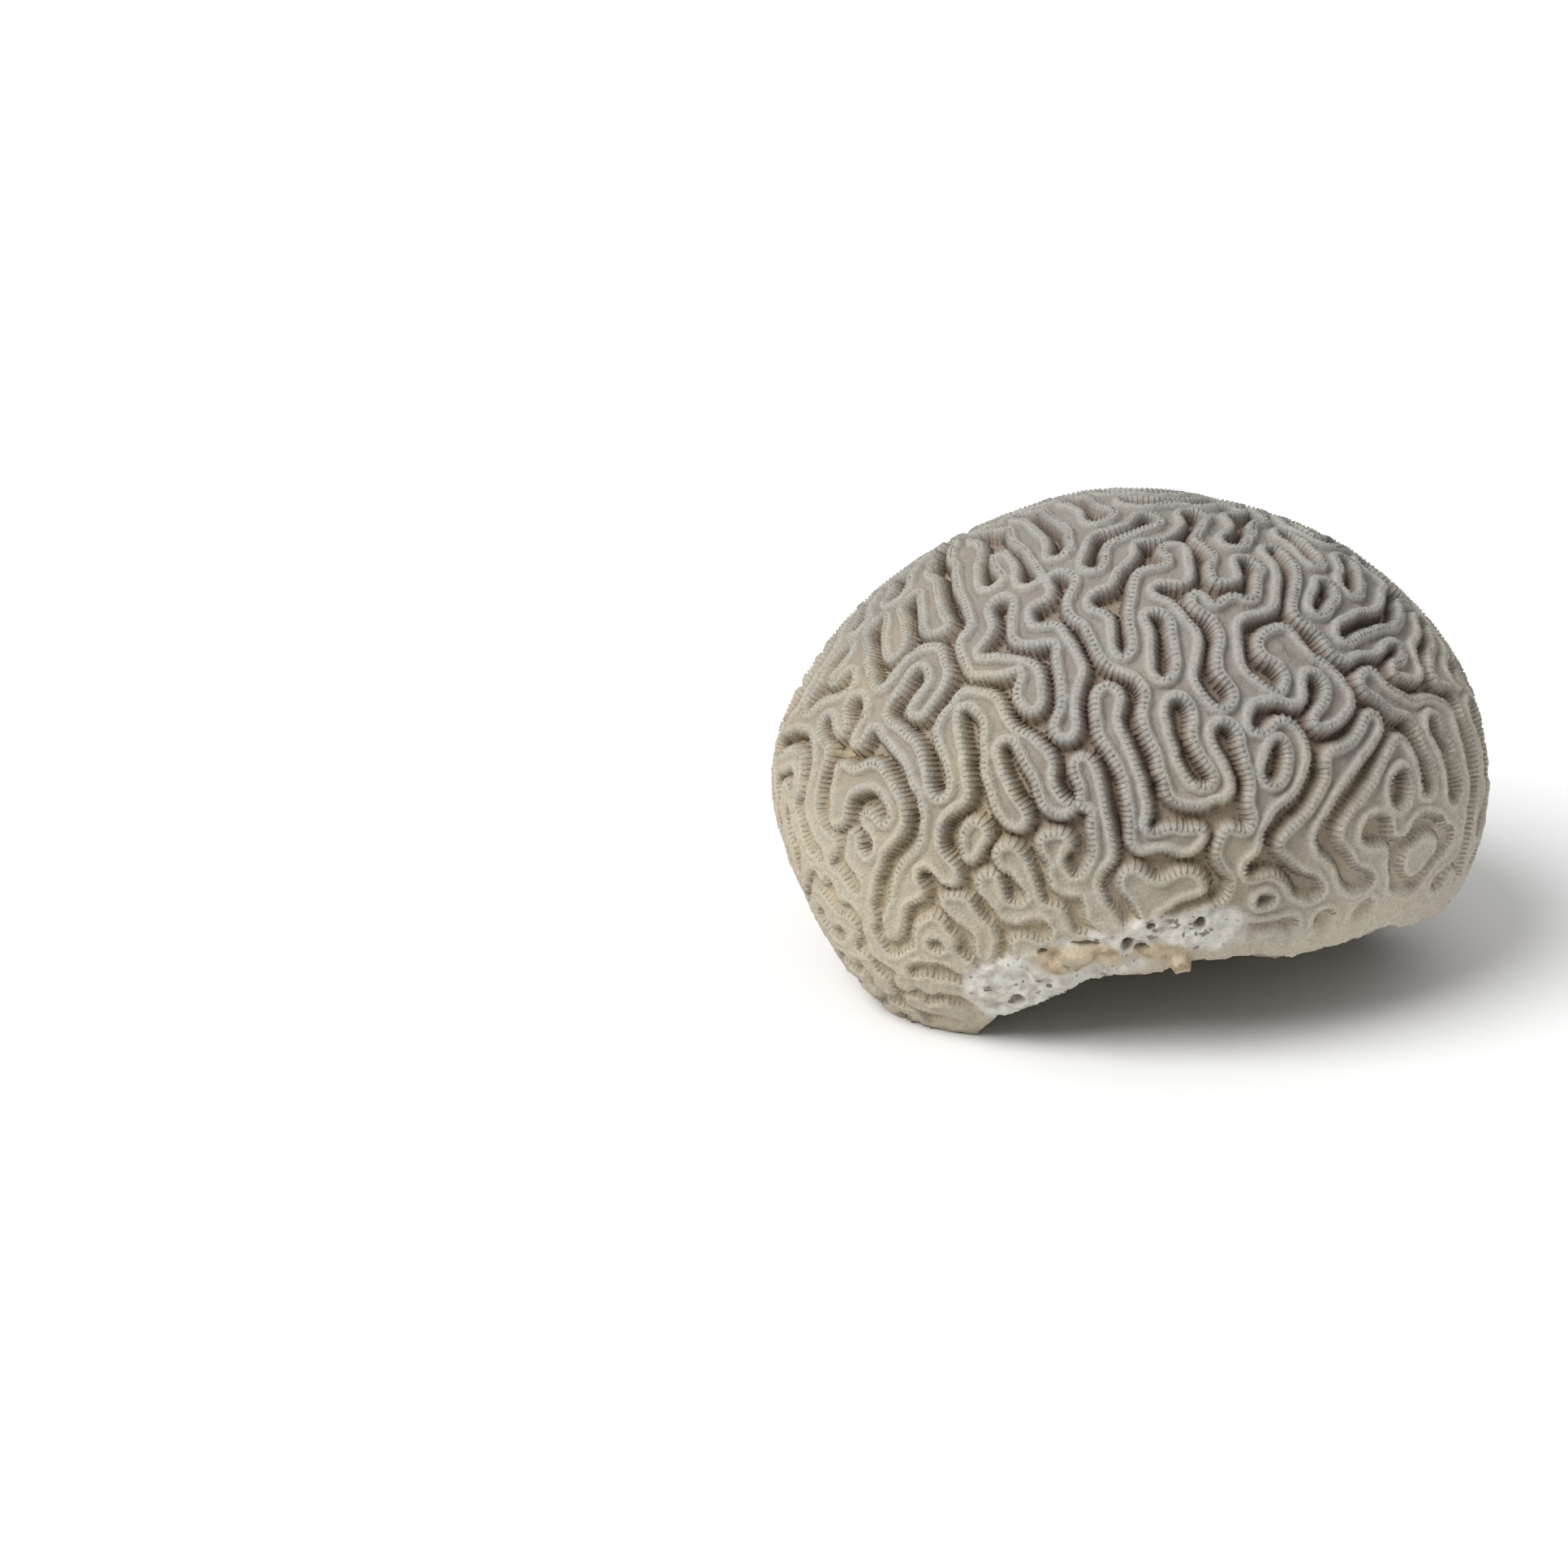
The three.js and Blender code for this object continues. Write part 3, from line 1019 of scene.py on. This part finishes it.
@dataclass
class Colony:
    """The skeleton: the labyrinth cut as relief into the solid's outside."""

    skin: Skin
    labyrinth: Labyrinth = field(default_factory=Labyrinth)
    relief: Relief = field(default_factory=Relief)
    finish: SkeletonFinish = SkeletonFinish()
    field_level: int = 6
    trace_level: int = 7
    fine_level: int = 8
    most_triangles: int = 196_000
    wobble: float = 0.1
    wobble_length: float = 2.6 * MM
    crown: tuple[float, float] = (0.55, 0.85)
    youth_lean: tuple[float, float] = (0.2, 1.6)
    youth_range: tuple[float, float] = (0.1, 0.95)
    youth_layers: Layers = ((22.0 * MM, 0.35, 4),)
    rubbed: float = 0.8
    rubbed_right: tuple[float, float] = (5.0 * MM, 35.0 * MM)
    rubbed_low: tuple[float, float] = (30.0 * MM, 55.0 * MM)
    fade_reach: float = 9.0 * MM
    fade_start: float = 0.2
    fade_layers: Layers = ((7.0 * MM, 1.8 * MM, 3),)
    bend_length: float = 4.0 * MM
    heart_pull: float = 0.05
    wear: float = 0.9
    soft_groove: float = 0.7
    crumb: float = 0.75 * MM
    crumb_level: float = 0.35
    crumb_layers: Layers = ((4.2 * MM, 1.0, 7), (1.4 * MM, 0.25, 8))
    pimple_layers: Layers = ((1.9 * MM, 1.0, 9),)
    pimple_height: float = 2.0
    pimple_rarity: float = 0.35
    knob_layers: Layers = ((1.1 * MM, 1.0, 12), (2.4 * MM, 0.6, 13))
    crust_smoothing: float = 0.85
    hole_depth: float = 3.5 * MM
    lump_height: float = 1.6 * MM
    knob: float = 0.22 * MM

    def grow(self) -> None:
        """Samples the outside, grows the labyrinth on it and traces the crests."""
        rays, facets = icosphere(self.field_level)
        coarse_count, coarse = len(rays), facets
        for _ in range(self.trace_level - self.field_level):
            rays, facets = refine(rays, facets)
        places, regions = self.skin.cast(unit(rays))
        graph = SurfaceGraph(places[:coarse_count], coarse)
        courses = {
            kind: self.skin.cast(np.concatenate([Course(turns).rays() for turns in lines]))[0]
            for kind, lines in ((Kind.VALLEY, VALLEYS), (Kind.RIDGE, PLATEAUS))
        }
        crown = smooth_step(graph.points[:, 2] / self.skin.high[2], *self.crown)
        values = self.labyrinth.grow(graph, courses, self.youth(graph.points), crown)
        for _ in range(self.trace_level - self.field_level):
            values, coarse = refine(values, coarse)
        values += self.wobble * rough(places, self.wobble_length, 6)
        normals = self.outward(places, facets, regions)
        self.crests = Crests.trace(places, normals, facets, values)
        for _ in range(self.fine_level - self.trace_level):
            values, _ = refine(values, facets)
            normals, _ = refine(normals, facets)
            kinds, _ = refine(np.stack([regions == kind for kind in Region], axis=1) * 1.0, facets)
            places, facets = refine(places, facets)
            regions = np.argmax(kinds, axis=1)
        self.places, self.facets, self.values = places, facets, values
        self.normals, self.regions = unit(normals), regions

    def outward(self, places: Array, facets: Array, regions: Array) -> Array:
        """Gives each vertex a normal that only facets of its own region shape."""
        corners = places[facets]
        normals = np.cross(corners[:, 1] - corners[:, 0], corners[:, 2] - corners[:, 0])
        kinds = regions[facets]
        pure = (kinds == kinds[:, :1]).all(axis=1)
        chosen = facets[pure].T.ravel()
        total = [np.bincount(chosen, np.tile(normals[pure, axis], 3), len(places)) for axis in range(3)]
        total = unit(np.stack(total, axis=1)) + self.heart_pull * unit(places - self.skin.heart)
        return unit(total)

    def build(self) -> bpy.types.Object:
        """Cuts the relief and makes the piece.

        Returns:
            The finished piece.
        """
        distance, _ = nearest(self.crests.points, self.places)
        across = np.where(self.values > 0.0, distance, -distance)
        grown = self.regions == Region.GROWN
        broken = self.regions == Region.BROKEN
        worn, faded, crust, holes, lump = self.damage(grown)
        self.worn = np.maximum(worn, faded)
        whole = np.where(grown, 1.0 - self.wear * self.worn, 0.0)
        soft = self.softness(self.places)
        valley = self.relief.valley(across, soft) * whole
        groove = self.relief.groove(across) * whole * (1.0 - self.soft_groove * soft)
        pimples = np.maximum(layered(self.places, self.pimple_layers) - self.pimple_rarity, 0.0)
        crumbs = layered(self.places, self.crumb_layers) + self.pimple_height * pimples
        crumbling = np.where(broken, 1.0, worn) * (1.0 - self.crust_smoothing * crust)
        sunk = self.relief.valley_depth * valley + self.relief.groove_depth * groove
        dents = self.crumb * crumbling * (self.crumb_level + crumbs) + self.hole_depth * holes
        sunk += dents - self.lump_height * lump
        sunk += np.where(grown, self.knob * (1.0 + layered(self.places, self.knob_layers)), 0.0)
        points = self.places - self.normals * sunk[:, None]
        points[:, 2] = np.maximum(points[:, 2], 0.0)
        numbers = {
            # Holes lift sink past 1, where the finish paints them near black as painted shade.
            "sink": valley + 2.0 * holes,
            "groove": groove,
            "worn": np.where(grown, worn, 0.0) * (1.0 - holes),
            "broken": broken * 1.0,
            "cut": (self.regions == Region.CUT) * 1.0,
            "crust": crust * (1.0 - holes),
        }
        piece = make_object("coral_skeleton", points, self.facets, numbers)
        if len(self.facets) > self.most_triangles:
            thin = piece.modifiers.new("thin", "DECIMATE")
            thin.ratio = self.most_triangles / len(self.facets)
            settle(piece)
        piece.data.shade_smooth()
        piece.data.materials.append(self.finish.build("coral skeleton"))
        return piece

    def youth(self, places: Array) -> Array:
        """Gives where ridges are young and rounded: 1 low down, most of all on the left, 0 above."""
        lean = (self.youth_lean[0] * places[:, 0] + self.youth_lean[1] * places[:, 2]) / self.skin.high[2]
        return 1.0 - smooth_step(lean + layered(places, self.youth_layers), *self.youth_range)

    def softness(self, places: Array) -> Array:
        """Gives where the relief is rounded off: on young ridges, and rubbed low on the right."""
        right = smooth_step(places[:, 0], *self.rubbed_right)
        low = 1.0 - smooth_step(places[:, 2], *self.rubbed_low)
        return np.maximum(self.youth(places), self.rubbed * right * low)

    def damage(self, grown: Array) -> tuple[Array, Array, Array, Array, Array]:
        """Works out where the surface is worn bare, faded, crusted over, holed and lumpy.

        Args:
            grown: Which vertices are on the grown surface.

        Returns:
            Five numbers from 0 to 1 for each vertex.
        """
        rim = self.skin.border(Region.GROWN, Region.BROKEN)
        from_rim, _ = nearest(rim, self.places)
        ragged = from_rim + layered(self.places, self.fade_layers)
        faded = 1.0 - smooth_step(ragged, self.fade_start * self.fade_reach, self.fade_reach)
        rays = unit(self.places - self.skin.heart)
        bends = np.stack([rough(self.places, self.bend_length, seed) for seed in (21, 22, 23)], axis=1)

        def covered(patches: tuple[Patch, ...], raggedness: float) -> Array:
            """Gives how much of each vertex the patches cover."""
            bent = unit(rays + raggedness * bends)
            return np.max([patch.share(bent) for patch in patches], axis=0)

        worn = covered(RUBBLE, 0.025)
        crust = covered(CRUSTS, 0.01) * grown
        holes = covered(HOLES, 0.006) * grown
        return worn, faded, crust, holes, covered(LUMPS, 0.01)


@dataclass
class Septa:
    """The teeth that stand side by side along every crest and run down into the valley."""

    colony: Colony
    spacing: float = 0.95 * MM
    thickness: float = 0.5 * MM
    thickness_spread: float = 0.25
    height_spread: float = 0.06
    soft_shortening: float = 0.35
    soiling: float = 0.75
    most_wear: float = 0.2
    floor_gap: float = 1.5 * MM
    seed: int = 11
    # A septum's free edge and its root, from the crest down to the valley floor: distance into
    # the valley and height over the crest.
    edge: tuple[tuple[float, float], ...] = (
        (-0.5 * MM, -0.08 * MM), (0.3 * MM, 0.14 * MM), (1.0 * MM, -0.8 * MM), (1.8 * MM, -2.7 * MM),
    )
    root: tuple[tuple[float, float], ...] = (
        (-0.2 * MM, -0.6 * MM), (-0.05 * MM, -1.0 * MM), (0.2 * MM, -2.2 * MM), (1.0 * MM, -3.8 * MM),
    )

    def blade(self) -> bpy.types.Object:
        """Makes one septum: a wedge, sharp at its free edge."""
        free, sunk = (np.array([(x, 0.0, z) for x, z in line]) for line in (self.edge, self.root))
        count = len(free)
        half = np.array([0.0, 0.5 * self.thickness, 0.0])
        points = np.concatenate([free, sunk - half, sunk + half])
        facets = []
        for row in range(count - 1):
            for side, beside in ((0, 1), (1, 2), (2, 0)):
                a, b = row + side * count, row + beside * count
                facets += [(a, b, b + 1), (a, b + 1, a + 1)]
        facets.append((0, 2 * count, count))
        facets.append((count - 1, 2 * count - 1, 3 * count - 1))
        depth = np.clip(-points[:, 2] / self.colony.relief.valley_depth, 0.0, 1.0)
        numbers = {name: np.zeros(len(points)) for name in ("groove", "worn", "broken", "cut", "crust")}
        numbers["sink"] = depth * self.soiling
        return make_object("septum", points, np.array(facets), numbers)

    def tree(self) -> tuple[bpy.types.NodeTree, dict[str, str]]:
        """Builds the tree that stands septa along lines.

        Returns:
            The tree, and the identifier of each input by its name.
        """
        tree = bpy.data.node_groups.new("septa along crests", "GeometryNodeTree")
        kinds = {"Crests": "Geometry", "Septum": "Object", "Spacing": "Float", "Thickness spread": "Float",
                 "Height spread": "Float", "Seed": "Int", "Finish": "Material"}
        sockets = {name: tree.interface.new_socket(name, in_out="INPUT", socket_type="NodeSocket" + kind)
                   for name, kind in kinds.items()}
        tree.interface.new_socket("Septa", in_out="OUTPUT", socket_type="NodeSocketGeometry")
        board = Board(tree)
        given = board.node("NodeGroupInput").outputs

        def stored(name: str, kind: str) -> Socket:
            """Reads something stored on the lines."""
            settings = {"data_type": kind}
            return board.add("GeometryNodeInputNamedAttribute", settings, {"Name": name}, "Attribute")

        def chance(spread: bpy.types.NodeSocket, shift: int) -> Socket:
            """Gives a random number round 1 for each septum."""
            spread = Socket(board, spread)
            seed = Socket(board, given["Seed"]) + shift
            return board.add("FunctionNodeRandomValue", {"data_type": "FLOAT"},
                             {2: 1.0 - spread, 3: spread + 1.0, "Seed": seed}, 1)

        line = board.add("GeometryNodeMeshToCurve", None, {"Mesh": given["Crests"]})
        line = board.add("GeometryNodeResampleCurve", {"mode": "LENGTH"},
                         {"Curve": line, "Length": given["Spacing"]})
        turn = board.add("FunctionNodeAxesToRotation", {"primary_axis": "Z", "secondary_axis": "X"},
                         {0: stored("upward", "FLOAT_VECTOR"), 1: stored("inward", "FLOAT_VECTOR")})
        reach = stored("reach", "FLOAT")
        size = board.add("ShaderNodeCombineXYZ", None,
                         {0: reach, 1: chance(given["Thickness spread"], 1),
                          2: reach * chance(given["Height spread"], 2)})
        blade = board.add("GeometryNodeObjectInfo", None, {"Object": given["Septum"]}, "Geometry")
        stand = board.add("GeometryNodeInstanceOnPoints", None,
                          {"Points": line, "Instance": blade, "Rotation": turn, "Scale": size})
        real = board.add("GeometryNodeRealizeInstances", None, {0: stand})
        dressed = board.add("GeometryNodeSetMaterial", None,
                            {"Geometry": real, "Material": given["Finish"]})
        board.node("NodeGroupOutput", None, {0: dressed})
        return tree, {name: socket.identifier for name, socket in sockets.items()}

    def build(self) -> bpy.types.Object:
        """Stands the septa along the crests.

        Returns:
            The finished piece.
        """
        crests = self.colony.crests
        _, rows = nearest(self.colony.places, crests.points)
        kept = (self.colony.regions[rows] == Region.GROWN) & (self.colony.worn[rows] < self.most_wear)
        kept &= crests.points[:, 2] > self.floor_gap
        numbers = np.cumsum(kept) - 1
        links = numbers[crests.links[kept[crests.links].all(axis=1)]]
        soft = self.colony.softness(crests.points)
        relief = self.colony.relief
        sunk = relief.valley_depth * relief.valley(np.zeros(len(soft)), soft)
        points = crests.points - crests.upward * sunk[:, None]
        reach = 1.0 - self.soft_shortening * soft
        piece = make_object("septa", points[kept], links, {"reach": reach[kept]},
                            {"upward": crests.upward[kept], "inward": crests.inward[kept]})
        septum = self.blade()
        tree, inputs = self.tree()
        modifier = piece.modifiers.new("septa", "NODES")
        modifier.node_group = tree
        given = {"Septum": septum, "Spacing": self.spacing, "Thickness spread": self.thickness_spread,
                 "Height spread": self.height_spread, "Seed": self.seed,
                 "Finish": self.colony.finish.build("septa")}
        for name, value in given.items():
            modifier[inputs[name]] = value
        settle(piece)
        bpy.data.objects.remove(septum)
        return piece


# Where the coral is looked at


@dataclass
class Studio:
    """A pale floor, a soft light in a bright room, and the camera."""

    elevation: float = 22.0
    distance: float = 587 * MM
    aim: tuple[float, float, float] = (-61.5 * MM, 0.0, 31.5 * MM)
    lens: float = 75.0
    floor_size: float = 60.0
    floor_colour: Colour = (0.9, 0.9, 0.9)
    light_side: tuple[float, float, float] = (-0.62, -0.38, 0.78)
    light_width: float = 40.0
    light_power: float = 3.0
    room_level: float = 0.03
    room_overhead: float = 0.75

    def build(self) -> None:
        """Sets up everything round the coral."""
        self.lay_floor()
        self.hang_light()
        self.light_room()
        self.place_camera()
        bpy.context.scene.view_settings.view_transform = "Standard"

    def lay_floor(self) -> None:
        """Lays the floor that the coral rests on."""
        half = self.floor_size / 2.0
        corners = np.array([(x * half, y * half, 0.0) for x, y in ((-1, -1), (1, -1), (1, 1), (-1, 1))])
        floor = make_object("floor", corners, np.array([(0, 1, 2), (0, 2, 3)]))
        material = bpy.data.materials.new("floor")
        material.use_nodes = True
        board = Board(material.node_tree)
        sockets = {"Base Color": (*self.floor_colour, 1.0), "Roughness": 0.8, "Specular IOR Level": 0.1}
        shader = board.node("ShaderNodeBsdfPrincipled", None, sockets)
        board.node("ShaderNodeOutputMaterial", None, {"Surface": shader.outputs[0]})
        floor.data.materials.append(material)

    def hang_light(self) -> None:
        """Hangs a broad soft light far off that lights the whole floor alike."""
        lamp = bpy.data.lights.new("key", "SUN")
        lamp.angle, lamp.energy = math.radians(self.light_width), self.light_power
        light = bpy.data.objects.new("key", lamp)
        light.location = self.light_side
        light.rotation_euler = (-Vector(self.light_side)).to_track_quat("-Z", "Y").to_euler()
        bpy.context.scene.collection.objects.link(light)

    def light_room(self) -> None:
        """Fills the room with white light that grows from the horizon to overhead."""
        world = bpy.data.worlds.new("room")
        world.use_nodes = True
        board = Board(world.node_tree)
        way_out = board.add("ShaderNodeTexCoord", output="Generated")
        parts = board.node("ShaderNodeSeparateXYZ", None, {0: way_out})
        strength = self.room_level + Socket(board, parts.outputs["Z"]).clamp() * self.room_overhead
        sockets = {"Color": (1.0, 1.0, 1.0, 1.0), "Strength": strength}
        light = board.node("ShaderNodeBackground", None, sockets)
        board.node("ShaderNodeOutputWorld", None, {"Surface": light.outputs[0]})
        bpy.context.scene.world = world

    def place_camera(self) -> None:
        """Stands the camera in front of the coral, looking down on it."""
        tilt = math.radians(self.elevation)
        ahead = Vector((0.0, math.cos(tilt), -math.sin(tilt)))
        lens = bpy.data.cameras.new("camera")
        lens.lens, lens.sensor_width = self.lens, 36.0
        camera = bpy.data.objects.new("camera", lens)
        camera.location = Vector(self.aim) - ahead * self.distance
        camera.rotation_euler = ahead.to_track_quat("-Z", "Y").to_euler()
        bpy.context.scene.collection.objects.link(camera)
        bpy.context.scene.camera = camera


def declare(piece: bpy.types.Object) -> None:
    """Ties a finished piece to the frame and reports it."""
    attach(piece, BODY)
    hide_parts(NODE)
    triangles = sum(len(face.vertices) - 2 for face in piece.data.polygons)
    log.info("%s: %d triangles", piece.name, triangles)


def main() -> None:
    """Builds the coral and everything round it."""
    logging.basicConfig(level=logging.INFO, format="%(relativeCreated)6d ms %(message)s", force=True)
    colony = Colony(Skin(NODE))
    colony.grow()
    log.info("labyrinth grown: %d crest points", len(colony.crests.points))
    declare(colony.build())
    declare(Septa(colony).build())
    Studio().build()


if __name__ == "__main__":
    main()
